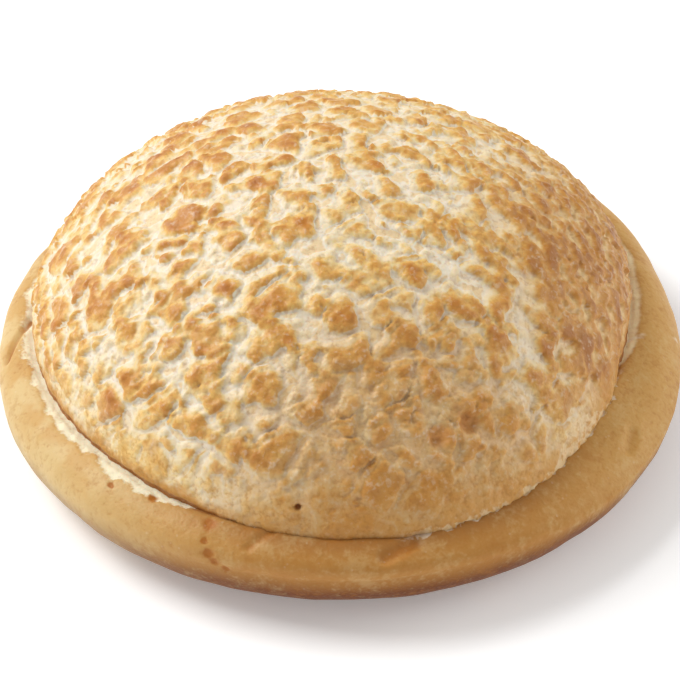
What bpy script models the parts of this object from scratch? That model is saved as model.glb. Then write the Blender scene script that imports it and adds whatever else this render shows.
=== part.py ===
"""A tiger bread roll: a round white roll whose crown carries a baked-on coat of rice paste.

The roll is one solid. A low ring of plain dough stands round the foot, and the crown rises
out of it behind a crease. As the dough swelled, the paste on the crown broke into raised plates.
Metres, +Z up. The origin is the middle of the flat underside, and the front faces -Y.
"""

import math

import bmesh
import bpy
from mathutils import Vector

MM = 0.001

# The ring of plain dough at the foot
RING_RADIUS = 55.0 * MM  # to its fullest, at the waist
WAIST_HEIGHT = 9.6 * MM
UNDERSIDE_RADIUS = 43.7 * MM  # the flat that stands on the oven shelf
SHOULDER_RADIUS = 48.0 * MM  # crest of the shoulder, where the crown rises out of it
SHOULDER_HEIGHT = 14.7 * MM
WELL_RADIUS = 42.0 * MM  # where the shoulder has levelled out beneath the crown
WELL_HEIGHT = 13.4 * MM

# The crown, which sits in the ring like a ball in a saucer
CROWN_RADIUS = 48.6 * MM
CROWN_HEIGHT = 46.1 * MM  # of the bare dough, above the shelf
CROWN_POINT = 1.13  # 1 for a true half ball, more as it rises straighter to its top
CROWN_LEAN = -3.0 * MM  # sideways drift of the top, to the left
CROWN_WAIST = 13.2 * MM  # height of its fullest level
CROWN_ROOT = 5.0 * MM  # its lowest point, buried in the ring

# How far from round a hand-moulded roll is: cosine and sine of one, two and three waves in a
# turn that starts at the front. The first two are shares of the radius, the last is a height.
WAIST_WAVES = ((-0.005, 0.007), (0.019, -0.012), (-0.007, 0.006))
CREASE_WAVES = ((0.004, -0.010), (0.027, -0.025), (0.023, 0.022))
LIFT_WAVES = ((-0.3 * MM, 0.1 * MM), (-0.3 * MM, -0.4 * MM), (0.1 * MM, -0.4 * MM))

# The plates of rice paste
PLATE_SIZE = 4.4 * MM
PLATE_RISE = 1.0 * MM
SPLIT_SPACING = 9.0 * MM
SPLIT_WIDTH = 2.0 * MM
PASTE_EDGE = 16.0 * MM  # height where the plates begin, over the crease
PASTE_FULL = 19.0 * MM

RING_STEPS = 144  # faces round the ring
CROWN_DETAIL = 7  # subdivisions of the crown's ball
MOST_TRIANGLES = 11_400
FLAT_WITHIN = 0.05 * MM

CRUST_COLOUR = (0.68, 0.42, 0.17, 1.0)


def clear_scene():
    for thing in list(bpy.data.objects):
        bpy.data.objects.remove(thing)


def arc(centre, across, up, start, end, steps):
    """Points (radius, height) on an ellipse's arc, from start to end in degrees."""
    angles = [math.radians(start + (end - start) * i / steps) for i in range(steps + 1)]
    return [(centre[0] + across * math.cos(t), centre[1] + up * math.sin(t)) for t in angles]


def waves(turn, sizes):
    """The sum of the slow waves round the roll, at this turn in radians."""
    pairs = enumerate(sizes, start=1)
    return sum(a * math.cos(k * turn) + b * math.sin(k * turn) for k, (a, b) in pairs)


def share(value, low, high):
    return min(1.0, max(0.0, (value - low) / (high - low)))


def uneven(mesh):
    """Takes a turned mesh out of round, one way at the waist and another way at the crease."""
    for vertex in mesh.vertices:
        x, y, z = vertex.co
        turn = math.atan2(x, -y)
        climbed = share(z, WAIST_HEIGHT, SHOULDER_HEIGHT)
        crowned = share(z, SHOULDER_HEIGHT, CROWN_HEIGHT)
        stretch = (1 - climbed) * waves(turn, WAIST_WAVES) + climbed * waves(turn, CREASE_WAVES)
        stretch = 1 + stretch * (1 - crowned)
        inward = share(math.hypot(x, y), 0.0, 0.3 * CROWN_RADIUS)
        lift = waves(turn, LIFT_WAVES) * climbed * (1 - crowned) * inward
        vertex.co = Vector((x * stretch + CROWN_LEAN * crowned, y * stretch, z + lift))


def apply_modifier(thing, modifier):
    with bpy.context.temp_override(object=thing, active_object=thing):
        bpy.ops.object.modifier_apply(modifier=modifier.name)


def dough_ring(parts):
    """The flat-bottomed ring, turned from its profile and closed over behind the crease."""
    foot = arc((UNDERSIDE_RADIUS, WAIST_HEIGHT), RING_RADIUS - UNDERSIDE_RADIUS, WAIST_HEIGHT, -90, 0, 12)
    middle = (SHOULDER_RADIUS, WAIST_HEIGHT)
    shoulder = arc(middle, RING_RADIUS - SHOULDER_RADIUS, SHOULDER_HEIGHT - WAIST_HEIGHT, 0, 90, 10)
    middle = (SHOULDER_RADIUS, WELL_HEIGHT)
    inside = arc(middle, SHOULDER_RADIUS - WELL_RADIUS, SHOULDER_HEIGHT - WELL_HEIGHT, 90, 180, 6)
    outline = [(0.0, 0.0), *foot, *shoulder[1:], *inside[1:], (0.0, WELL_HEIGHT)]
    mesh = bpy.data.meshes.new("dough_ring")
    shape = bmesh.new()
    points = [shape.verts.new((radius, 0.0, height)) for radius, height in reversed(outline)]
    for one, other in zip(points, points[1:]):
        shape.edges.new((one, other))
    shape.to_mesh(mesh)
    shape.free()
    ring = bpy.data.objects.new("dough_ring", mesh)
    parts.objects.link(ring)
    screw = ring.modifiers.new("turned", "SCREW")
    screw.steps = screw.render_steps = RING_STEPS
    screw.use_merge_vertices = True
    screw.merge_threshold = 0.00001
    apply_modifier(ring, screw)
    uneven(ring.data)
    return ring


def crown(parts):
    """The risen crown: a ball flattened more below its waist than above it."""
    mesh = bpy.data.meshes.new("crown")
    shape = bmesh.new()
    bmesh.ops.create_icosphere(shape, subdivisions=CROWN_DETAIL, radius=1.0)
    for vertex in shape.verts:
        x, y, z = vertex.co
        rise = CROWN_HEIGHT - CROWN_WAIST if z > 0 else CROWN_WAIST - CROWN_ROOT
        straighter = CROWN_POINT if z > 0 else 1.0
        out = CROWN_RADIUS * math.hypot(x, y) ** (straighter - 1) if abs(z) < 1 else 0.0
        up = math.copysign(abs(z) ** straighter, z)
        vertex.co = Vector((x * out, y * out, CROWN_WAIST + up * rise))
    shape.to_mesh(mesh)
    shape.free()
    ball = bpy.data.objects.new("crown", mesh)
    parts.objects.link(ball)
    uneven(ball.data)
    plates = ball.modifiers.new("plates", "NODES")
    plates.node_group = plate_relief()
    apply_modifier(ball, plates)
    return ball


def feed(tree, socket, value):
    """Gives a node's input a plain value, or another node's output."""
    if isinstance(value, bpy.types.NodeSocket):
        tree.links.new(value, socket)
    else:
        socket.default_value = value


def node(tree, kind, *values, **settings):
    """A new node with its inputs fed in order. None leaves an input as it is."""
    made = tree.nodes.new(kind)
    for name, setting in settings.items():
        setattr(made, name, setting)
    for socket, value in zip(made.inputs, values):
        if value is not None:
            feed(tree, socket, value)
    return made


def calc(tree, operation, *values):
    return node(tree, "ShaderNodeMath", *values, operation=operation).outputs[0]


def ramp(tree, value, low, high):
    """0 below low, 1 above high, and a smooth rise between them."""
    made = node(tree, "ShaderNodeMapRange", value, low, high, interpolation_type="SMOOTHSTEP")
    return made.outputs[0]


def cloud(tree, place, size, detail=2.0):
    """Smooth noise whose patches are about this size."""
    made = node(tree, "ShaderNodeTexNoise")
    feed(tree, made.inputs["Vector"], place)
    feed(tree, made.inputs["Scale"], 1 / size)
    feed(tree, made.inputs["Detail"], detail)
    return made


def warped(tree, place, size, reach):
    """The place, pushed about by noise, so that what is drawn on it wanders."""
    push = cloud(tree, place, size).outputs["Color"]
    centred = node(tree, "ShaderNodeVectorMath", push, (0.5, 0.5, 0.5), operation="SUBTRACT").outputs[0]
    scaled = node(tree, "ShaderNodeVectorMath", centred, operation="SCALE")
    feed(tree, scaled.inputs["Scale"], 2 * reach)
    return node(tree, "ShaderNodeVectorMath", place, scaled.outputs[0], operation="ADD").outputs[0]


def plate_relief():
    """Raises the paste's plates along the surface's normal, with splits between them."""
    tree = bpy.data.node_groups.new("plate relief", "GeometryNodeTree")
    tree.interface.new_socket("Geometry", in_out="INPUT", socket_type="NodeSocketGeometry")
    tree.interface.new_socket("Geometry", in_out="OUTPUT", socket_type="NodeSocketGeometry")
    entry = tree.nodes.new("NodeGroupInput").outputs[0]
    bare = tree.nodes.new("GeometryNodeInputPosition").outputs[0]
    painted = ramp(tree, node(tree, "ShaderNodeSeparateXYZ", bare).outputs["Z"], PASTE_EDGE, PASTE_FULL)
    place = warped(tree, bare, 3.5 * MM, 1.0 * MM)
    patches = ramp(tree, cloud(tree, place, PLATE_SIZE, 0.0).outputs["Fac"], 0.40, 0.58)
    splits = node(tree, "ShaderNodeTexVoronoi", feature="DISTANCE_TO_EDGE")
    feed(tree, splits.inputs["Vector"], place)
    feed(tree, splits.inputs["Scale"], 1 / SPLIT_SPACING)
    unsplit = ramp(tree, splits.outputs["Distance"], 0.0, SPLIT_WIDTH / SPLIT_SPACING)
    paste = calc(tree, "MULTIPLY", calc(tree, "MULTIPLY", patches, unsplit), painted)
    height = calc(tree, "MULTIPLY", paste, PLATE_RISE)
    normal = tree.nodes.new("GeometryNodeInputNormal").outputs[0]
    offset = node(tree, "ShaderNodeVectorMath", normal, operation="SCALE")
    feed(tree, offset.inputs["Scale"], height)
    moved = tree.nodes.new("GeometryNodeSetPosition")
    feed(tree, moved.inputs["Geometry"], entry)
    feed(tree, moved.inputs["Offset"], offset.outputs[0])
    feed(tree, tree.nodes.new("NodeGroupOutput").inputs[0], moved.outputs[0])
    return tree


def crust():
    material = bpy.data.materials.new("tiger_crust")
    material.use_nodes = True
    surface = material.node_tree.nodes["Principled BSDF"]
    surface.inputs["Base Color"].default_value = CRUST_COLOUR
    surface.inputs["Roughness"].default_value = 0.62
    surface.inputs["Metallic"].default_value = 0.0
    return material


def joined(ring, ball):
    """One solid of the ring and the crown, with no more triangles than it needs."""
    union = ring.modifiers.new("crown joined", "BOOLEAN")
    union.operation = "UNION"
    union.object = ball
    apply_modifier(ring, union)
    bpy.data.objects.remove(ball)
    ring.name = ring.data.name = "tiger_roll"
    ring.data.calc_loop_triangles()
    fewer = ring.modifiers.new("fewer triangles", "DECIMATE")
    fewer.ratio = MOST_TRIANGLES / len(ring.data.loop_triangles)
    apply_modifier(ring, fewer)
    return ring


def settle(roll):
    """Makes the underside truly flat, and puts the origin at the middle of the roll's box."""
    places = [vertex.co for vertex in roll.data.vertices]
    middle = [(min(p[k] for p in places) + max(p[k] for p in places)) / 2 for k in (0, 1)]
    for vertex in roll.data.vertices:
        x, y, z = vertex.co
        vertex.co = Vector((x - middle[0], y - middle[1], 0.0 if z < FLAT_WITHIN else z))


def main():
    clear_scene()
    parts = bpy.data.collections.new("tiger_roll")
    bpy.context.scene.collection.children.link(parts)
    roll = joined(dough_ring(parts), crown(parts))
    settle(roll)
    roll.data.materials.clear()
    roll.data.materials.append(crust())
    roll.data.shade_smooth()
    roll.data.set_sharp_from_angle(angle=math.radians(40))


main()
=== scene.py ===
import math

import bpy
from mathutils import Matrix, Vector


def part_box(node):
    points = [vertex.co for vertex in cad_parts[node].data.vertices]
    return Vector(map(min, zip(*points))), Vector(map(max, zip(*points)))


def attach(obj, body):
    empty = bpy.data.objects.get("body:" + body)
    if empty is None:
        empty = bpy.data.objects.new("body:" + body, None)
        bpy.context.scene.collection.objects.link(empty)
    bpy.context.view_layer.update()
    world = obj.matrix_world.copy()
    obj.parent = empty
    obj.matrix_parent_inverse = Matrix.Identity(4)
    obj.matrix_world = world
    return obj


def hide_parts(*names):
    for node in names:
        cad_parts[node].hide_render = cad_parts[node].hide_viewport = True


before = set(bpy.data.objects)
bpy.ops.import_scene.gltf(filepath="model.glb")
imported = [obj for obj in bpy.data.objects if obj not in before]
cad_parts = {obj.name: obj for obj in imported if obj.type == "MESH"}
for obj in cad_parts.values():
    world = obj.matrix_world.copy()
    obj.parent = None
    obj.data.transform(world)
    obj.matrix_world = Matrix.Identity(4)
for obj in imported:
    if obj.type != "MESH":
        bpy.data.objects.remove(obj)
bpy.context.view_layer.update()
low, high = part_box("tiger_roll")

# ---------------------------------------------------------------------------------------------
# The crown: the risen dough above the ring. It is brushed with rice paste before baking. The
# paste sets while the dough still swells, so it breaks into brown plates with pale crust between.
# ---------------------------------------------------------------------------------------------

MM = 0.001
ring_radius = (high[1] - low[1]) / 2.046  # a hand-moulded ring is a little deeper than round
waist = 0.205 * high[2]  # height where the ring is fullest
shoulder = 0.3135 * high[2]  # height of the crease between the ring and the crown

crown_radius = 0.884 * ring_radius
crown_waist = shoulder - 1.5 * MM
crown_top = high[2] - 0.8 * MM
crown_foot = shoulder - 4.0 * MM
crown_point = 1.13  # 1 for a true half ball, more as it rises straighter to its top
crown_lean = -0.055 * ring_radius

# How far from round the dough is: cosine and sine of one, two and three waves in a turn that
# starts at the front. The first two are shares of the radius, and the last is a height.
waist_waves = ((-0.005, 0.007), (0.019, -0.012), (-0.007, 0.006))
crease_waves = ((0.004, -0.010), (0.027, -0.025), (0.023, 0.022))
lift_waves = ((-0.3 * MM, 0.1 * MM), (-0.3 * MM, -0.4 * MM), (0.1 * MM, -0.4 * MM))


def feed(tree, socket, value):
    """Links another node's output to an input, or sets a plain value on it."""
    if isinstance(value, bpy.types.NodeSocket):
        tree.links.new(value, socket)
    elif value is not None:
        socket.default_value = value


def put(tree, kind, *values, named=None, **settings):
    """Adds a node, with its settings, its inputs in order, and any inputs fed by name."""
    node = tree.nodes.new(kind)
    for name, setting in settings.items():
        setattr(node, name, setting)
    for socket, value in zip(node.inputs, values):
        feed(tree, socket, value)
    for name, value in (named or {}).items():
        feed(tree, node.inputs[name], value)
    return node


def calc(tree, operation, *values):
    return put(tree, "ShaderNodeMath", *values, operation=operation).outputs[0]


def times(tree, *values):
    total = values[0]
    for value in values[1:]:
        total = calc(tree, "MULTIPLY", total, value)
    return total


def plus(tree, *values):
    total = values[0]
    for value in values[1:]:
        total = calc(tree, "ADD", total, value)
    return total


def less(tree, value):
    """What is left of 1."""
    return calc(tree, "SUBTRACT", 1.0, value)


def most(tree, *values):
    total = values[0]
    for value in values[1:]:
        total = calc(tree, "MAXIMUM", total, value)
    return total


def ramp(tree, value, start, end, low=0.0, high=1.0):
    """A smooth rise from low to high as the value goes from start to end."""
    node = put(tree, "ShaderNodeMapRange", value, start, end, low, high, interpolation_type="SMOOTHSTEP")
    return node.outputs[0]


def blend(tree, share, one, other):
    """A number that goes from one to the other as the share goes from 0 to 1."""
    return put(tree, "ShaderNodeMix", named={"Factor": share, "A": one, "B": other}).outputs[0]


def vector(tree, operation, *values):
    return put(tree, "ShaderNodeVectorMath", *values, operation=operation).outputs[0]


def measure(tree, operation, *values):
    return put(tree, "ShaderNodeVectorMath", *values, operation=operation).outputs["Value"]


def scaled(tree, place, factor):
    return put(tree, "ShaderNodeVectorMath", place, operation="SCALE", named={"Scale": factor}).outputs[0]


def cloud(tree, place, size, detail=2.0, roughness=0.5):
    """Smooth noise with patches about this size, from 0 to 1."""
    fed = {"Vector": place, "Scale": 1 / size, "Detail": detail, "Roughness": roughness}
    return put(tree, "ShaderNodeTexNoise", named=fed).outputs["Fac"]


def cells(tree, place, size, feature="F1", **fed):
    """The distance from the middle, or from the edge, of random cells of this size."""
    fed = {"Vector": place, "Scale": 1 / size, **fed}
    return put(tree, "ShaderNodeTexVoronoi", named=fed, feature=feature).outputs["Distance"]


def uneven(tree, place, size, detail=2.0, roughness=0.5):
    """The same noise, above and below 0."""
    return plus(tree, cloud(tree, place, size, detail, roughness), -0.5)


def pushed(tree, place, size, reach):
    """The place, moved about by noise, so that what is drawn on it wanders."""
    fed = {"Vector": place, "Scale": 1 / size, "Detail": 1.0}
    push = put(tree, "ShaderNodeTexNoise", named=fed).outputs["Color"]
    push = vector(tree, "SUBTRACT", push, (0.5, 0.5, 0.5))
    return vector(tree, "ADD", place, scaled(tree, push, 2 * reach))


def near(tree, place, centre, inner, outer):
    """1 within the inner distance of a centre, fading to 0 at the outer."""
    return ramp(tree, measure(tree, "DISTANCE", place, centre), inner, outer, 1.0, 0.0)


def beside(tree, place, ends):
    """How far a place is from the straight line between two others."""
    start, end = ends
    line = tuple(b - a for a, b in zip(start, end))
    from_start = vector(tree, "SUBTRACT", place, start)
    along = measure(tree, "DOT_PRODUCT", from_start, line)
    share = times(tree, along, 1 / sum(part * part for part in line))
    share = put(tree, "ShaderNodeClamp", share).outputs[0]
    return measure(tree, "DISTANCE", from_start, scaled(tree, line, share))


def across(tree, place):
    """How far a place is from the roll's upright axis."""
    return measure(tree, "LENGTH", vector(tree, "MULTIPLY", place, (1.0, 1.0, 0.0)))


def level(tree, place):
    return put(tree, "ShaderNodeSeparateXYZ", place).outputs["Z"]


def past_wall(tree, turned):
    """How far out from the crown's wall a place is, at the crease."""
    return plus(tree, across(tree, turned), -crown_radius)


def over_crease(tree, turned):
    """How high above the crease a place is."""
    return plus(tree, level(tree, turned), -shoulder)


def turn_of(tree, place):
    """The angle round the roll, 0 at the front and rising to the right."""
    axes = put(tree, "ShaderNodeSeparateXYZ", place)
    return calc(tree, "ARCTAN2", axes.outputs["X"], times(tree, axes.outputs["Y"], -1.0))


def between(tree, turn, start, end, soft=6):
    """1 between two turns round the roll, in degrees, fading out over a few degrees."""
    start, end, soft = (math.radians(angle) for angle in (start, end, soft))
    opened = ramp(tree, turn, start - soft, start + soft)
    return times(tree, opened, ramp(tree, turn, end - soft, end + soft, 1.0, 0.0))


def waves(tree, turn, sizes):
    parts = []
    for count, (cosine, sine) in enumerate(sizes, start=1):
        angle = times(tree, turn, count)
        parts.append(times(tree, calc(tree, "COSINE", angle), cosine))
        parts.append(times(tree, calc(tree, "SINE", angle), sine))
    return plus(tree, *parts)


def moulded(tree, place):
    """The place, moved from a true turned form to the hand-moulded one."""
    x, y, z = put(tree, "ShaderNodeSeparateXYZ", place).outputs
    turn = turn_of(tree, place)
    climbed = put(tree, "ShaderNodeMapRange", z, waist, shoulder).outputs[0]
    crowned = put(tree, "ShaderNodeMapRange", z, shoulder, crown_top).outputs[0]
    stretch = blend(tree, climbed, waves(tree, turn, waist_waves), waves(tree, turn, crease_waves))
    stretch = plus(tree, times(tree, stretch, less(tree, crowned)), 1.0)
    inward = put(tree, "ShaderNodeMapRange", across(tree, place), 0.0, 0.3 * crown_radius).outputs[0]
    lift = times(tree, waves(tree, turn, lift_waves), climbed, less(tree, crowned), inward)
    moved_x = plus(tree, times(tree, x, stretch), times(tree, crowned, crown_lean))
    moved_y = times(tree, y, stretch)
    return put(tree, "ShaderNodeCombineXYZ", moved_x, moved_y, plus(tree, z, lift)).outputs[0]


# Where the paste lies differently, in the roll's own places
set_side = (-26 * MM, 2 * MM, 38 * MM)  # it set early and drew up into small brown plates
whole_side = (43 * MM, -4 * MM, 22 * MM)  # it stayed nearly whole
low_front = (10 * MM, -46 * MM, 19 * MM)  # the lowest of the crown, baked through with the crust, and darkened there by painted shade as well
drawn_way = (0.80, 0.42, 0.42)  # the plates are drawn out a little this way
shade_way = (0.62, -0.62, -0.48)  # away from the key light: plates heap up on this side, painted darker there as shade and paler on the other side as light
pin_hole = (-6.3 * MM, -49.2 * MM, 18.6 * MM)
blisters = ((18.6 * MM, -38.5 * MM, 25.6 * MM), (13.9 * MM, -41.0 * MM, 25.2 * MM))
wide_cracks = (
    ((1.2 * MM, -5.5 * MM, 45.5 * MM), (5.5 * MM, -14.3 * MM, 43.2 * MM)),
    ((5.5 * MM, -14.3 * MM, 43.2 * MM), (14.4 * MM, -16.2 * MM, 40.4 * MM)),
)

# The same, as turns round the roll in degrees from the front, where it changes along the crease
high_brushed = (-66, 62)  # the brush stopped higher above the crease
baked_together = (13, 70)  # the crown and the ring are one crust, with no fold between them
half_together = (-22, 20)
crumb_row = (12, 72)  # they tore apart without a fold, and crumbs show
crumb_patch = (44, 57)
golden_edge = (-120, -20)

# The sizes of the paste's pattern, and how far each part of it stands up or sinks
plate_size = 5.0 * MM
lump_size = 1.9 * MM
bead_size = 1.2 * MM
drawn_share = 0.26
shade_step = 1.2 * MM
skin_height = 0.20 * MM
heap_height = 0.40 * MM
lump_height = 0.32 * MM
fine_height = 0.25 * MM
wrinkle_depth = 0.75 * MM
tuck_depth = 0.45 * MM
bulge_height = 1.0 * MM
crumb_height = 1.0 * MM
crumb_patch_width = 3.6 * MM
hole_depth = 1.0 * MM
blister_depth = 0.8 * MM


def paste(tree, place):
    """How thick the paste lies, and how high its small lumps stand."""
    along = measure(tree, "DOT_PRODUCT", place, drawn_way)
    drawn = vector(tree, "SUBTRACT", place, scaled(tree, drawn_way, times(tree, along, drawn_share)))
    bent = pushed(tree, pushed(tree, drawn, 5 * MM, 1.8 * MM), 1.8 * MM, 0.5 * MM)
    edges = ramp(tree, cells(tree, bent, plate_size, "DISTANCE_TO_EDGE"), 0.0, 0.17)
    whole = near(tree, place, whole_side, 18 * MM, 36 * MM)
    crack = times(tree, less(tree, edges), blend(tree, whole, -0.38, -0.24))
    for ends in wide_cracks:
        apart = beside(tree, pushed(tree, place, 3 * MM, 1.2 * MM), ends)
        crack = plus(tree, crack, ramp(tree, apart, 0.2 * MM, 1.2 * MM, -0.4, 0.0))
    patches = uneven(tree, bent, 4 * MM, 1.5)
    spread = plus(tree, times(tree, patches, 1.15), crack, times(tree, whole, 0.05), 0.65)
    wandering = pushed(tree, drawn, 1.8 * MM, 0.5 * MM)
    lumps = cells(tree, wandering, lump_size, "SMOOTH_F1", Smoothness=0.3)
    lumps = ramp(tree, lumps, 0.05, 0.85, 1.0, 0.0)
    crumbs = uneven(tree, place, 0.9 * MM, 1.0)
    rough = plus(tree, times(tree, plus(tree, lumps, -0.4), 0.42), times(tree, crumbs, 0.10))
    return plus(tree, spread, rough), lumps


def lightward_paste(tree, place):
    """How thick the paste lies a little towards the key light from a place. The relief heaps a plate up
    on the side away from the light, and the colour uses it for painted shade on that side and painted
    light on the other.
    """
    behind = vector(tree, "SUBTRACT", place, tuple(shade_step * part for part in shade_way))
    return paste(tree, behind)[0]


def toasted_and_shaded(tree, place):
    """1 low at the front and on the right, where the paste stayed thinner and baked longer, and where
    painted shade also darkens and warms the colour, on the side away from the key light.
    """
    right = near(tree, place, whole_side, 14 * MM, 36 * MM)
    return most(tree, right, near(tree, place, low_front, 12 * MM, 36 * MM))


def brushed(tree, turned):
    """1 where the paste was brushed on, fading out above the crease, and higher up at the front."""
    front = between(tree, turn_of(tree, turned), *high_brushed, 14)
    start = blend(tree, front, 1.0 * MM, 2.5 * MM)
    end = blend(tree, front, 4.0 * MM, 10.0 * MM)
    wander = times(tree, uneven(tree, turned, 7 * MM), 8 * MM)
    return ramp(tree, plus(tree, over_crease(tree, turned), wander), start, end)


def folded(tree, turned):
    """How far the crown overhangs the ring in a sharp fold, from 0 where the two baked into one."""
    turn = turn_of(tree, turned)
    joined = between(tree, turn, *baked_together)
    joined = most(tree, joined, times(tree, between(tree, turn, *half_together), 0.5))
    return less(tree, joined)


def frayed(tree, place, turned, widest):
    """1 in the row of white crumbs where the crown tore from the ring without opening a fold."""
    turn = turn_of(tree, turned)
    out = past_wall(tree, turned)
    up = over_crease(tree, turned)
    apart = calc(tree, "SQRT", plus(tree, times(tree, out, out), times(tree, up, up)))
    ragged = times(tree, uneven(tree, place, 2.4 * MM, 3.0, 0.6), 3.5 * MM)
    width = blend(tree, between(tree, turn, *crumb_patch, 4), 0.5 * MM, widest)
    row = ramp(tree, calc(tree, "SUBTRACT", plus(tree, apart, ragged), width), 0.0, 0.4 * MM, 1.0, 0.0)
    gaps = ramp(tree, cloud(tree, place, 1.3 * MM), 0.38, 0.50)
    return times(tree, row, between(tree, turn, *crumb_row, 5), gaps)


def torn_crumbs(tree, place, depth):
    """The rough height of bared crumb, sunk by this depth."""
    return plus(tree, cloud(tree, pushed(tree, place, 2 * MM, 1 * MM), 1.6 * MM, 3.0, 0.7), -depth)


def new_relief(name):
    tree = bpy.data.node_groups.new(name, "GeometryNodeTree")
    tree.interface.new_socket("Geometry", in_out="INPUT", socket_type="NodeSocketGeometry")
    tree.interface.new_socket("Geometry", in_out="OUTPUT", socket_type="NodeSocketGeometry")
    place = tree.nodes.new("GeometryNodeInputPosition").outputs[0]
    normal = tree.nodes.new("GeometryNodeInputNormal").outputs[0]
    return tree, tree.nodes.new("NodeGroupInput").outputs[0], place, normal


def kept(tree, shape, name, value):
    """Keeps a place on every point of the mesh, for the material to read."""
    fed = {"Name": name, "Value": value}
    node = put(tree, "GeometryNodeStoreNamedAttribute", shape, data_type="FLOAT_VECTOR", named=fed)
    return node.outputs[0]


def moved(tree, shape, **fed):
    return put(tree, "GeometryNodeSetPosition", shape, named=fed).outputs[0]


def read(tree, name):
    """Reads back a kept place, in a relief."""
    return put(tree, "GeometryNodeInputNamedAttribute", name, data_type="FLOAT_VECTOR").outputs[0]


def apply_relief(piece, tree, shape):
    feed(tree, tree.nodes.new("NodeGroupOutput").inputs[0], shape)
    modifier = piece.modifiers.new("relief", "NODES")
    modifier.node_group = tree
    bpy.ops.object.modifier_apply(modifier=modifier.name)


bpy.ops.object.select_all(action="DESELECT")
bpy.ops.mesh.primitive_ico_sphere_add(subdivisions=8, radius=crown_radius, location=(0, 0, crown_waist))
crown = bpy.context.object
crown.name = "tiger_crown"
bpy.ops.object.transform_apply(location=True, rotation=False, scale=False)
bpy.ops.object.mode_set(mode="EDIT")
bpy.ops.mesh.select_all(action="SELECT")
bpy.ops.mesh.bisect(plane_co=(0, 0, crown_foot), plane_no=(0, 0, 1), clear_inner=True, use_fill=True)
bpy.ops.mesh.select_all(action="SELECT")
bpy.ops.mesh.normals_make_consistent(inside=False)
bpy.ops.object.mode_set(mode="OBJECT")


def rise(tree, place):
    """The ball, drawn to the crown's height and made straighter towards its top."""
    x, y, z = put(tree, "ShaderNodeSeparateXYZ", scaled(tree, place, 1 / crown_radius)).outputs
    up = plus(tree, z, -crown_waist / crown_radius)
    out = calc(tree, "SQRT", plus(tree, times(tree, x, x), times(tree, y, y)))
    above = calc(tree, "GREATER_THAN", up, 0.0)
    power = plus(tree, times(tree, above, crown_point - 1), 1.0)
    height = calc(tree, "POWER", calc(tree, "MAXIMUM", up, 0.0), power)
    height = times(tree, height, crown_top - crown_waist)
    depth = times(tree, calc(tree, "MINIMUM", up, 0.0), crown_radius)
    grow = calc(tree, "POWER", calc(tree, "MAXIMUM", out, 0.0001), plus(tree, power, -1.0))
    grow = times(tree, grow, crown_radius)
    z = plus(tree, height, depth, crown_waist)
    return put(tree, "ShaderNodeCombineXYZ", times(tree, x, grow), times(tree, y, grow), z).outputs[0]


def crown_relief():
    tree, shape, place, normal = new_relief("crown relief")
    shape = moved(tree, shape, Position=rise(tree, place))
    shape = kept(tree, shape, "turned", place)
    shape = moved(tree, shape, Position=moulded(tree, place))
    shape = kept(tree, shape, "rest", place)
    turned = read(tree, "turned")
    thick, lumps = paste(tree, place)
    plate = ramp(tree, thick, 0.34, 0.52)
    heaped_shade_side = ramp(tree, lightward_paste(tree, place), 0.35, 0.75)
    wrinkles = calc(tree, "ABSOLUTE", uneven(tree, pushed(tree, place, 3 * MM, 1 * MM), 2.4 * MM))
    body = plus(tree, times(tree, heaped_shade_side, heap_height), times(tree, lumps, lump_height), skin_height)
    body = times(tree, plate, body)
    body = plus(tree, body, times(tree, wrinkles, less(tree, plate), -wrinkle_depth))
    thinned = blend(tree, brushed(tree, turned), 0.25, 1.0)
    body = times(tree, body, thinned, blend(tree, toasted_and_shaded(tree, place), 1.0, 0.95))
    body = plus(tree, body, times(tree, uneven(tree, place, 1.2 * MM, 1.0), fine_height))
    above = over_crease(tree, turned)
    fold = folded(tree, turned)
    tuck = times(tree, ramp(tree, above, -0.2 * MM, 1.0 * MM, -tuck_depth, 0.0), fold)
    bulge = times(tree, ramp(tree, above, 0.0, 8 * MM, bulge_height, 0.0), less(tree, fold))
    crumbs = torn_crumbs(tree, place, 0.7)
    crumbs = times(tree, frayed(tree, place, turned, crumb_patch_width), crumbs, crumb_height)
    hole = times(tree, near(tree, place, pin_hole, 0.2 * MM, 0.7 * MM), -hole_depth)
    body = plus(tree, body, tuck, bulge, crumbs, hole)
    for blister in blisters:
        sunk = near(tree, place, blister, 0.8 * MM, 2.0 * MM)
        body = plus(tree, body, times(tree, sunk, -blister_depth))
    return tree, moved(tree, shape, Offset=scaled(tree, normal, body))


apply_relief(crown, *crown_relief())
bpy.ops.object.shade_smooth()


def srgb(red, green, blue):
    """A colour as it is seen, from 0 to 255, for a shader."""
    parts = [value / 255 for value in (red, green, blue)]
    return (*[p / 12.92 if p <= 0.04045 else ((p + 0.055) / 1.055) ** 2.4 for p in parts], 1.0)


def gradient(tree, value, *stops):
    """A run of colours, each at its place from 0 to 1."""
    node = put(tree, "ShaderNodeValToRGB", value)
    while len(node.color_ramp.elements) < len(stops):
        node.color_ramp.elements.new(0.5)
    for element, (place, colour) in zip(node.color_ramp.elements, stops):
        element.position = place
        element.color = colour
    return node.outputs["Color"]


def tint(tree, share, one, other):
    """A colour that goes from one to the other as the share goes from 0 to 1."""
    node = put(tree, "ShaderNodeMix", data_type="RGBA")
    feed(tree, node.inputs[0], share)
    feed(tree, node.inputs[6], one)
    feed(tree, node.inputs[7], other)
    return node.outputs[2]


def effect(name, *outputs):
    """A new group of shader nodes that works named values out from a place."""
    tree = bpy.data.node_groups.new(name, "ShaderNodeTree")
    tree.interface.new_socket("Place", in_out="INPUT", socket_type="NodeSocketVector")
    for output in outputs:
        tree.interface.new_socket(output, in_out="OUTPUT", socket_type="NodeSocketFloat")
    return tree, tree.nodes.new("NodeGroupInput").outputs[0], tree.nodes.new("NodeGroupOutput")


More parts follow.
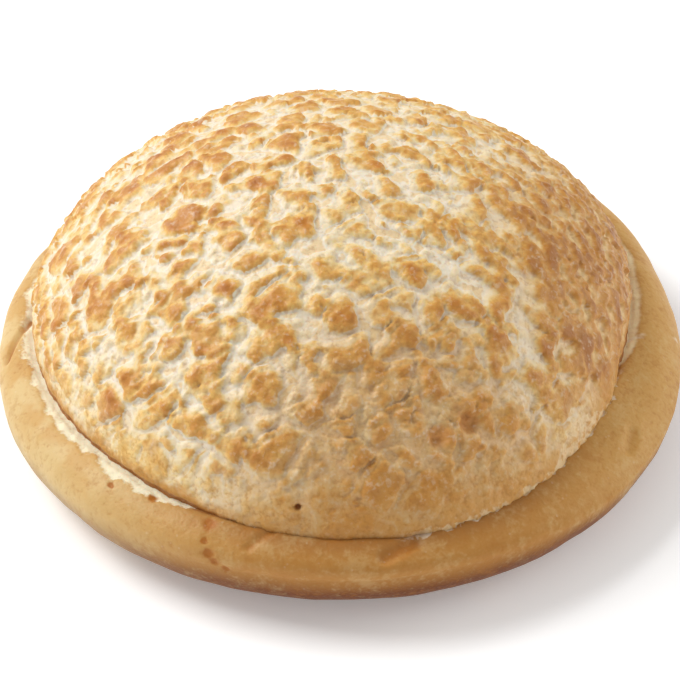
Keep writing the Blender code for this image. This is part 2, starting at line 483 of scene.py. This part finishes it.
def baked_grain():
    """The fine finish of any baked crust: its grain, its cloudy colour, and its white specks, which are
    flour and painted glints.
    """
    tree, place, result = effect("baked grain", "Grain", "Mottle", "Flour_and_glints")
    coarse = cloud(tree, place, 1.1 * MM, 1.0)
    grain = plus(tree, times(tree, coarse, 0.6), times(tree, cloud(tree, place, 0.45 * MM, 1.0), 0.4))
    feed(tree, result.inputs["Grain"], grain)
    mottle = plus(tree, cloud(tree, place, 6 * MM, 4.0, 0.6), times(tree, plus(tree, grain, -0.5), 0.5))
    feed(tree, result.inputs["Mottle"], mottle)
    dots = ramp(tree, cells(tree, place, 1.3 * MM), 0.10, 0.20, 1.0, 0.0)
    some = ramp(tree, cloud(tree, place, 3.1 * MM), 0.52, 0.60)
    feed(tree, result.inputs["Flour_and_glints"], times(tree, dots, some))
    return tree


grain_group = baked_grain()
crumb_white = srgb(238, 230, 213)
crumb_warm = srgb(236, 212, 170)
crust_cream = srgb(234, 218, 184)
paste_pale = srgb(233, 206, 146)
paste_gold = srgb(230, 187, 106)
paste_brown = srgb(208, 150, 84)
paste_dark = srgb(172, 104, 46)
paste_amber = srgb(196, 130, 50)
crust_gold = srgb(204, 152, 80)
painted_shade_brown = srgb(160, 98, 44)
toast_pale = srgb(228, 190, 126)
toast_tan = srgb(205, 156, 88)
toast_brown = srgb(158, 100, 36)
toast_grey = srgb(206, 178, 130)
toast_orange = srgb(198, 138, 60)

# The colours from thin to thick, and from a plate's side towards the key light to its side away from it,
# as painted light and
# shade: of the paste where it coloured little, more, or with the crust under it, and of the crust that a
# crack bares
gold_paste = ((0.38, crust_cream), (0.49, paste_pale), (0.64, paste_gold), (0.92, paste_amber))
brown_paste = (
    (0.37, crust_cream),
    (0.46, paste_pale),
    (0.60, paste_gold),
    (0.74, paste_brown),
    (1.0, paste_dark),
)
toasted_shaded_paste = ((0.38, toast_pale), (0.50, toast_tan), (0.60, toast_orange), (0.85, toast_brown))
crack_crumb_and_shade = ((0.08, crumb_warm), (0.24, crumb_white), (0.40, crust_cream))

# The colours that clouds give: the stains low at the front, and bare crust pale, and bare crust baked
# darker and painted with shade
stained = ((0.36, toast_grey), (0.48, toast_tan), (0.62, toast_orange))
bare_toasted_shaded = ((0.38, toast_orange), (0.54, toast_tan), (0.74, toast_grey))
bare_pale = ((0.34, paste_gold), (0.48, paste_pale), (0.62, crust_cream))


def tiger_crust():
    material = bpy.data.materials.new("tiger crust")
    material.use_nodes = True
    tree = material.node_tree
    surface = tree.nodes["Principled BSDF"]
    place = put(tree, "ShaderNodeAttribute", attribute_name="rest").outputs["Vector"]
    turned = put(tree, "ShaderNodeAttribute", attribute_name="turned").outputs["Vector"]
    finish = put(tree, "ShaderNodeGroup", place, node_tree=grain_group)
    grain = finish.outputs["Grain"]
    thick, lumps = paste(tree, place)
    thick = plus(tree, thick, times(tree, plus(tree, grain, -0.5), 0.08))

    # The paste is pale where it thins out and dark where it lies thick, against the white of a crack.
    # Painted light pales a plate's side towards the key light, and painted shade darkens its side away
    # from it
    heaped_shade_side = plus(tree, times(tree, thick, 0.45), times(tree, lightward_paste(tree, place), 0.55))
    gold = gradient(tree, heaped_shade_side, *gold_paste)
    brown = gradient(tree, heaped_shade_side, *brown_paste)
    bake = ramp(tree, cloud(tree, place, 15 * MM), 0.45, 0.62, 0.0, 0.6)
    bake = most(tree, bake, near(tree, place, set_side, 16 * MM, 32 * MM))
    colour = tint(tree, bake, gold, brown)
    beads = ramp(tree, cells(tree, place, bead_size), 0.10, 0.75, 1.0, 0.0)
    # Painted shade: amber in the gaps between the lumps and beads on a plate
    between_lumps = ramp(tree, lumps, 0.05, 0.45, 0.55, 0.0)
    between_beads = ramp(tree, beads, 0.05, 0.50, 0.40, 0.0)
    gap_shade = times(tree, most(tree, between_lumps, between_beads), ramp(tree, heaped_shade_side, 0.48, 0.60))
    colour = tint(tree, gap_shade, colour, paste_amber)
    # White crumb in a crack, painted warmer at its bottom and cream along the plates' edges as warm shade
    white = gradient(tree, thick, *crack_crumb_and_shade)
    colour = tint(tree, ramp(tree, thick, 0.34, 0.44, 1.0, 0.0), colour, white)

    # Low at the front and on the right it baked longer, and there is little white in its cracks; painted
    # shade darkens and saturates it there too
    toast_and_shade = toasted_and_shaded(tree, place)
    tan = gradient(tree, heaped_shade_side, *toasted_shaded_paste)
    stains = cloud(tree, pushed(tree, place, 6 * MM, 2 * MM), 5 * MM, 3.0, 0.6)
    stains = gradient(tree, stains, *stained)
    tan = tint(tree, near(tree, place, low_front, 16 * MM, 34 * MM), tan, tint(tree, 0.6, tan, stains))
    colour = tint(tree, times(tree, toast_and_shade, 0.82), colour, tan)

    # Bare crust near the crease, golden at its very edge, and darkened by painted shade in the fold
    bare = less(tree, brushed(tree, turned))
    mottle = finish.outputs["Mottle"]
    smooth = gradient(tree, mottle, *bare_toasted_shaded)
    cream = gradient(tree, mottle, *bare_pale)
    smooth = tint(tree, toast_and_shade, cream, smooth)
    colour = tint(tree, times(tree, bare, 0.7), colour, smooth)
    height = over_crease(tree, turned)
    left = between(tree, turn_of(tree, turned), *golden_edge)
    ragged = times(tree, uneven(tree, place, 3 * MM), 5 * MM)
    edge = times(tree, left, ramp(tree, plus(tree, height, ragged), 1.0 * MM, 3.0 * MM, 1.0, 0.0))
    colour = tint(tree, edge, colour, crust_gold)
    fold = folded(tree, turned)
    joined = times(tree, less(tree, fold), ramp(tree, height, 0.5 * MM, 4.5 * MM, 0.9, 0.0))
    colour = tint(tree, joined, colour, crust_gold)
    fold_shade = times(tree, ramp(tree, height, 0.0, 0.6 * MM, 0.9, 0.0), fold)
    colour = tint(tree, fold_shade, colour, painted_shade_brown)
    crumbs = times(tree, frayed(tree, place, turned, crumb_patch_width), 0.65)
    colour = tint(tree, crumbs, colour, crumb_warm)

    for blister in blisters:
        colour = tint(tree, near(tree, place, blister, 0.9 * MM, 2.2 * MM), colour, paste_brown)
    # Painted shade inside the pin hole
    colour = tint(tree, near(tree, place, pin_hole, 0.3 * MM, 0.6 * MM), colour, painted_shade_brown)
    # White specks: flour, and painted glints
    colour = tint(tree, times(tree, finish.outputs["Flour_and_glints"], 0.12), colour, crumb_white)
    colour = tint(tree, ramp(tree, grain, 0.32, 0.50, 0.30, 0.0), colour, toast_brown)
    floury = times(tree, ramp(tree, grain, 0.52, 0.70, 0.0, 0.30), blend(tree, bare, 1.0, 0.3))
    colour = tint(tree, floury, colour, crumb_white)
    feed(tree, surface.inputs["Base Color"], colour)
    surface.inputs["Roughness"].default_value = 0.45
    surface.inputs["Specular IOR Level"].default_value = 0.35
    surface.inputs["Subsurface Weight"].default_value = 0.4
    surface.inputs["Subsurface Radius"].default_value = (1.0, 0.7, 0.5)
    surface.inputs["Subsurface Scale"].default_value = 0.8 * MM
    rough = plus(tree, grain, times(tree, beads, 0.35))
    bump = put(tree, "ShaderNodeBump", named={"Height": rough, "Distance": 0.3 * MM, "Strength": 0.8})
    feed(tree, surface.inputs["Normal"], bump.outputs[0])
    return material


crown.data.materials.append(tiger_crust())

# ---------------------------------------------------------------------------------------------
# The ring: plain dough round the foot, which the paste doesn't reach, in one with the crown. It
# stands on a flat base and swells out under the crown, and its top edge tears where the crown
# rises away from it.
# ---------------------------------------------------------------------------------------------

ring_points = 720  # points round it
foot_radius = 0.795 * ring_radius
crest_radius = 0.873 * ring_radius
well_radius = 0.80 * ring_radius
well_height = shoulder - 3.0 * MM
pole_radius = 1 * MM  # of the small circles that are drawn shut under and over the ring


def arc(centre, wide, tall, start, end, steps):
    """Points (radius, height) on an ellipse's arc, from start to end in degrees."""
    angles = [math.radians(start + (end - start) * i / steps) for i in range(steps + 1)]
    return [(centre[0] + wide * math.cos(t), centre[1] + tall * math.sin(t)) for t in angles]


def run(start, end, height, steps):
    """Points (radius, height) on a level run, without its last point."""
    return [(start + (end - start) * i / steps, height) for i in range(steps)]


base = run(pole_radius, foot_radius, 0.0, 14)
foot = arc((foot_radius, waist), ring_radius - foot_radius, waist, -90, 0, 36)
top = arc((crest_radius, waist), ring_radius - crest_radius, shoulder - waist, 0, 90, 30)
inside = arc((crest_radius, well_height), crest_radius - well_radius, shoulder - well_height, 90, 180, 10)
profile = [*base, *foot, *top[1:], *inside[1:], (pole_radius, well_height)]

bpy.ops.object.select_all(action="DESELECT")
bpy.ops.mesh.primitive_circle_add(vertices=ring_points, radius=pole_radius, fill_type="NOTHING")
ring = bpy.context.object
ring.name = "plain_ring"
bpy.ops.object.mode_set(mode="EDIT")
bpy.ops.mesh.select_all(action="SELECT")
for (radius, height), (next_radius, next_height) in zip(profile, profile[1:]):
    bpy.ops.mesh.extrude_region_move(TRANSFORM_OT_translate={"value": (0, 0, next_height - height)})
    grow = next_radius / radius
    bpy.ops.transform.resize(value=(grow, grow, 1), center_override=(0, 0, next_height))
bpy.ops.mesh.merge(type="CENTER")
bpy.ops.mesh.select_non_manifold()
bpy.ops.mesh.merge(type="CENTER")
bpy.ops.mesh.select_all(action="SELECT")
bpy.ops.mesh.normals_make_consistent(inside=False)
bpy.ops.object.mode_set(mode="OBJECT")

# Marks on the ring, in the roll's own places
drips = (
    ((-19.2 * MM, -48.4 * MM, 14.5 * MM), 1.3 * MM),
    ((-19.9 * MM, -50.6 * MM, 13.3 * MM), 0.6 * MM),
    ((-19.4 * MM, -51.9 * MM, 11.8 * MM), 1.0 * MM),
    ((-18.6 * MM, -52.3 * MM, 10.6 * MM), 0.8 * MM),
    ((-17.0 * MM, -52.8 * MM, 9.6 * MM), 0.8 * MM),
    ((-27.7 * MM, -42.6 * MM, 14.8 * MM), 1.0 * MM),
    ((-34.2 * MM, -39.4 * MM, 14.2 * MM), 0.7 * MM),
)
slit = ((-49.3 * MM, 0.9 * MM, 14.4 * MM), (-52.5 * MM, -8.5 * MM, 13.0 * MM))
dimple_run = ((44.6 * MM, -25.2 * MM, 12.6 * MM), (43.4 * MM, -28.4 * MM, 11.4 * MM))
curl = ((-13.5 * MM, -52.4 * MM, 13.4 * MM), (-10.2 * MM, -50.3 * MM, 14.5 * MM))
ring_scar = ((45.4 * MM, -5.4 * MM, 15.4 * MM), (53.0 * MM, -0.8 * MM, 11.0 * MM))
flap = ((6.4 * MM, -54.2 * MM, 13.2 * MM), (10.8 * MM, -51.4 * MM, 13.7 * MM))

# Where its skin tore from the crown, in degrees round from the front, and how wide
torn_left = (-116, -28)
torn_left_width = 2.5 * MM
torn_right = (76, 118)
torn_right_width = 2.4 * MM
torn_back_width = 1.8 * MM

# How far each part of its relief stands up or sinks
swell_height = 0.9 * MM
bared_height = 0.9 * MM
thin_crumb_row = 0.5 * MM
groove_depth = 0.35 * MM
join_height = 0.8 * MM
gash_depth = 0.7 * MM
flap_depth = 0.7 * MM
curl_depth = 0.35 * MM
dimple_depth = 0.6 * MM
drip_depth = 0.25 * MM


def on_top(tree, turned):
    """1 on the ring's rounded top, 0 from its widest line down."""
    return ramp(tree, level(tree, turned), waist, waist + 2 * MM)


def torn(tree, place, turned):
    """1 where the ring's skin tore away from the crown and shows white crumb."""
    turn = turn_of(tree, turned)
    back = calc(tree, "COSINE", turn)
    width = times(tree, between(tree, turn, *torn_left), torn_left_width)
    width = most(tree, width, times(tree, between(tree, turn, *torn_right), torn_right_width))
    width = most(tree, width, ramp(tree, back, -0.6, -0.4, torn_back_width, 0.0))
    ragged = blend(tree, between(tree, turn, 70, 124), 6 * MM, 2 * MM)
    ragged = times(tree, uneven(tree, place, 5 * MM, 4.0, 0.65), ragged)
    out = plus(tree, past_wall(tree, turned), ragged, 0.8 * MM)
    strip = ramp(tree, calc(tree, "SUBTRACT", out, width), -0.45 * MM, 0.30 * MM, 1.0, 0.0)
    return times(tree, on_top(tree, turned), strip)


def ring_relief():
    tree, shape, place, normal = new_relief("ring relief")
    shape = kept(tree, shape, "turned", place)
    shape = moved(tree, shape, Position=moulded(tree, place))
    shape = kept(tree, shape, "rest", place)
    turned = read(tree, "turned")
    raised = ramp(tree, level(tree, place), 0.3 * MM, 3 * MM)
    body = times(tree, uneven(tree, place, 11 * MM), raised, swell_height)
    crumbs = torn_crumbs(tree, place, 0.85)
    bared = most(tree, torn(tree, place, turned), frayed(tree, place, turned, thin_crumb_row))
    body = plus(tree, body, times(tree, bared, crumbs, bared_height))
    out = past_wall(tree, turned)
    fold = folded(tree, turned)
    groove = times(tree, ramp(tree, out, 0.1 * MM, 1.0 * MM, -groove_depth, 0.0), fold)
    join = times(tree, ramp(tree, out, -1.0 * MM, 5.0 * MM, join_height, 0.0), less(tree, fold))
    crest = ramp(tree, level(tree, turned), waist, shoulder)
    body = plus(tree, body, times(tree, plus(tree, groove, join), crest))
    gash = ramp(tree, beside(tree, place, slit), 0.2 * MM, 0.9 * MM, -gash_depth, 0.0)
    dent = ramp(tree, beside(tree, place, flap), 0.4 * MM, 1.5 * MM, -flap_depth, 0.0)
    crimp = ramp(tree, beside(tree, place, curl), 0.2 * MM, 1.0 * MM, -curl_depth, 0.0)
    dimple = ramp(tree, beside(tree, place, dimple_run), 0.2 * MM, 1.6 * MM, -dimple_depth, 0.0)
    body = plus(tree, body, gash, dent, crimp, dimple)
    for centre, size in drips:
        drip = near(tree, place, centre, 0.4 * size, size)
        body = plus(tree, body, times(tree, drip, -drip_depth))
    return tree, moved(tree, shape, Offset=scaled(tree, normal, body))


apply_relief(ring, *ring_relief())
bpy.ops.object.shade_smooth()

torn_white = srgb(242, 236, 208)
torn_cream = srgb(246, 228, 186)
ring_brown = srgb(176, 116, 46)
foot_brown_and_shade = srgb(106, 48, 8)
ring_pale = srgb(216, 188, 134)
ring_mark = srgb(176, 110, 42)
ring_gold = srgb(203, 157, 88)


def ring_crust():
    material = bpy.data.materials.new("ring crust")
    material.use_nodes = True
    tree = material.node_tree
    surface = tree.nodes["Principled BSDF"]
    place = put(tree, "ShaderNodeAttribute", attribute_name="rest").outputs["Vector"]
    turned = put(tree, "ShaderNodeAttribute", attribute_name="turned").outputs["Vector"]
    finish = put(tree, "ShaderNodeGroup", place, node_tree=grain_group)
    height = level(tree, place)
    turn = turn_of(tree, turned)
    out = past_wall(tree, turned)
    upper = on_top(tree, turned)
    pale_side = between(tree, turn, -150, -34, 26)
    front = between(tree, turn, -26, 45, 20)

    # Pale on the left, browner at the front, and darkest at the foot, which sat on the hot tray and is
    # also painted darker as the shade under the roll
    colour = tint(tree, pale_side, ring_gold, ring_pale)
    colour = tint(tree, times(tree, front, 0.6), colour, ring_brown)
    foot_bake_and_shade = times(tree, ramp(tree, height, 4 * MM, 12 * MM, 1.0, 0.0), less(tree, pale_side))
    foot_bake_and_shade = times(tree, foot_bake_and_shade, blend(tree, front, 0.4, 1.0))
    colour = tint(tree, foot_bake_and_shade, colour, ring_brown)
    browned_and_shaded = ramp(tree, height, 5.5 * MM, 10.5 * MM, 0.9, 0.0)
    colour = tint(tree, times(tree, browned_and_shaded, blend(tree, pale_side, 1.0, 0.45)), colour, foot_brown_and_shade)
    # Painted shade on the ring's top just under the crown's edge at the front
    under_crown_shade = ramp(tree, out, 0.5 * MM, 4.5 * MM, 0.4, 0.0)
    colour = tint(tree, times(tree, under_crown_shade, front, upper), colour, foot_brown_and_shade)
    mottle = finish.outputs["Mottle"]
    flat = ramp(tree, across(tree, turned), foot_radius - 3 * MM, foot_radius + 1 * MM, 1.0, 0.0)
    flat = times(tree, flat, ramp(tree, height, 0.1 * MM, 1.0 * MM, 0.95, 0.0))
    colour = tint(tree, flat, colour, ring_gold)
    cloudy = ramp(tree, mottle, 0.50, 0.72, 0.0, 0.28)
    cloudy = times(tree, cloudy, ramp(tree, height, 2 * MM, 8 * MM, 0.3, 1.0))
    colour = tint(tree, cloudy, colour, ring_pale)
    patchy = ramp(tree, cloud(tree, place, 7 * MM, 3.0), 0.42, 0.56)
    rind = ramp(tree, out, 3.5 * MM, 7.5 * MM, 0.7, 0.0)
    colour = tint(tree, times(tree, rind, upper, pale_side, patchy), colour, ring_gold)
    colour = tint(tree, ramp(tree, mottle, 0.30, 0.48, 0.30, 0.0), colour, ring_brown)

    # White and cream crumb where the skin tore, and the marks on it
    broken = torn(tree, place, turned)
    open_crumb = tint(tree, between(tree, turn, 66, 124), torn_white, torn_cream)
    colour = tint(tree, broken, colour, open_crumb)
    crumbs = times(tree, frayed(tree, place, turned, thin_crumb_row), 0.75)
    colour = tint(tree, crumbs, colour, crumb_white)
    wobbly = pushed(tree, place, 1.5 * MM, 0.6 * MM)
    for centre, size in drips:
        colour = tint(tree, near(tree, wobbly, centre, 0.5 * size, 1.1 * size), colour, ring_mark)
    gash = ramp(tree, beside(tree, place, slit), 0.1 * MM, 0.6 * MM, 0.9, 0.0)
    colour = tint(tree, gash, colour, ring_mark)
    crimp = ramp(tree, beside(tree, place, curl), 0.0, 0.7 * MM, 0.5, 0.0)
    colour = tint(tree, crimp, colour, ring_mark)
    dent = ramp(tree, beside(tree, wobbly, flap), 0.1 * MM, 1.3 * MM, 0.6, 0.0)
    colour = tint(tree, dent, colour, ring_mark)
    # Painted shade in the ring's dimple
    dimple = ramp(tree, beside(tree, wobbly, dimple_run), 0.0, 1.2 * MM, 0.2, 0.0)
    colour = tint(tree, dimple, colour, ring_brown)
    # Painted shade in the fold where the ring's top meets the crown's wall
    fold_shade = ramp(tree, out, 0.0, 0.5 * MM, 0.8, 0.0)
    fold_shade = times(tree, fold_shade, upper, less(tree, broken), folded(tree, turned))
    colour = tint(tree, fold_shade, colour, painted_shade_brown)
    # White specks: flour, and painted glints
    colour = tint(tree, times(tree, finish.outputs["Flour_and_glints"], 0.12), colour, crumb_white)
    scar = ramp(tree, beside(tree, wobbly, ring_scar), 0.2 * MM, 0.7 * MM, 0.55, 0.0)
    colour = tint(tree, scar, colour, crumb_white)
    grain = finish.outputs["Grain"]
    colour = tint(tree, ramp(tree, grain, 0.30, 0.50, 0.25, 0.0), colour, ring_brown)
    colour = tint(tree, ramp(tree, grain, 0.50, 0.75, 0.0, 0.12), colour, ring_pale)
    feed(tree, surface.inputs["Base Color"], colour)
    surface.inputs["Roughness"].default_value = 0.5
    surface.inputs["Specular IOR Level"].default_value = 0.25
    surface.inputs["Subsurface Weight"].default_value = 0.3
    surface.inputs["Subsurface Radius"].default_value = (1.0, 0.7, 0.5)
    surface.inputs["Subsurface Scale"].default_value = 1.0 * MM
    bump = put(tree, "ShaderNodeBump", named={"Height": grain, "Distance": 0.22 * MM, "Strength": 0.8})
    feed(tree, surface.inputs["Normal"], bump.outputs[0])
    return material


ring.data.materials.append(ring_crust())

# The dough's own unevenness leaves the ring off centre, so both pieces go back over the frame's,
# and stand together for the solid roll
corners = [vertex.co for vertex in ring.data.vertices]
shift = [-(min(c[k] for c in corners) + max(c[k] for c in corners)) / 2 for k in (0, 1)]
for piece in (crown, ring):
    bpy.ops.object.select_all(action="DESELECT")
    bpy.context.view_layer.objects.active = piece
    piece.select_set(True)
    piece.location = (shift[0], shift[1], 0)
    bpy.ops.object.transform_apply(location=True, rotation=False, scale=False)
    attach(piece, "root")
    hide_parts("tiger_roll")

# ---------------------------------------------------------------------------------------------
# The studio: a plain pale table under the roll, soft light from the upper left behind it, and a
# reflector on its right. The camera looks down at it from the front.
# ---------------------------------------------------------------------------------------------

bpy.ops.object.select_all(action="DESELECT")
bpy.ops.mesh.primitive_plane_add(size=6, location=(0, 0, 0))
table = bpy.context.object
table.name = "table"
matt = bpy.data.materials.new("table white")
matt.use_nodes = True
board = matt.node_tree.nodes["Principled BSDF"]
board.inputs["Base Color"].default_value = (0.92, 0.935, 0.96, 1)
board.inputs["Emission Color"].default_value = (1.0, 1.0, 1.0, 1)
board.inputs["Emission Strength"].default_value = 0.2
board.inputs["Roughness"].default_value = 0.9
table.data.materials.append(matt)


def softbox(name, place, size, power, colour):
    """A square lamp that faces the roll."""
    lamp = bpy.data.lights.new(name, "AREA")
    lamp.size = size
    lamp.energy = power
    lamp.color = colour
    thing = bpy.data.objects.new(name, lamp)
    bpy.context.scene.collection.objects.link(thing)
    thing.location = place
    thing.rotation_euler = thing.location.to_track_quat("Z", "Y").to_euler()


softbox("key light", (-0.62, 0.22, 0.72), 0.5, 7.5, (1.0, 0.985, 0.96))
softbox("right reflector", (0.95, 0.2, 0.38), 0.6, 3.5, (1.0, 0.96, 0.9))

world = bpy.data.worlds.new("studio air")
world.use_nodes = True
sky = world.node_tree.nodes["Background"]
sky.inputs["Color"].default_value = (1.0, 0.975, 0.945, 1)
sky.inputs["Strength"].default_value = 0.49
bpy.context.scene.world = world

elevation = math.radians(38)
distance = 9 * ring_radius
aim = (0, 0, 0.267 * ring_radius)
lens = bpy.data.cameras.new("camera")
lens.sensor_width = 36
lens.lens = 165.4
lens.shift_x = -0.0013
lens.shift_y = -0.0335
lens.clip_start = 0.01
camera = bpy.data.objects.new("camera", lens)
bpy.context.scene.collection.objects.link(camera)
back, up = distance * math.cos(elevation), distance * math.sin(elevation)
camera.location = (aim[0], aim[1] - back, aim[2] + up)
camera.rotation_euler = (math.pi / 2 - elevation, 0, 0)
bpy.context.scene.camera = camera
bpy.context.scene.view_settings.view_transform = "Standard"
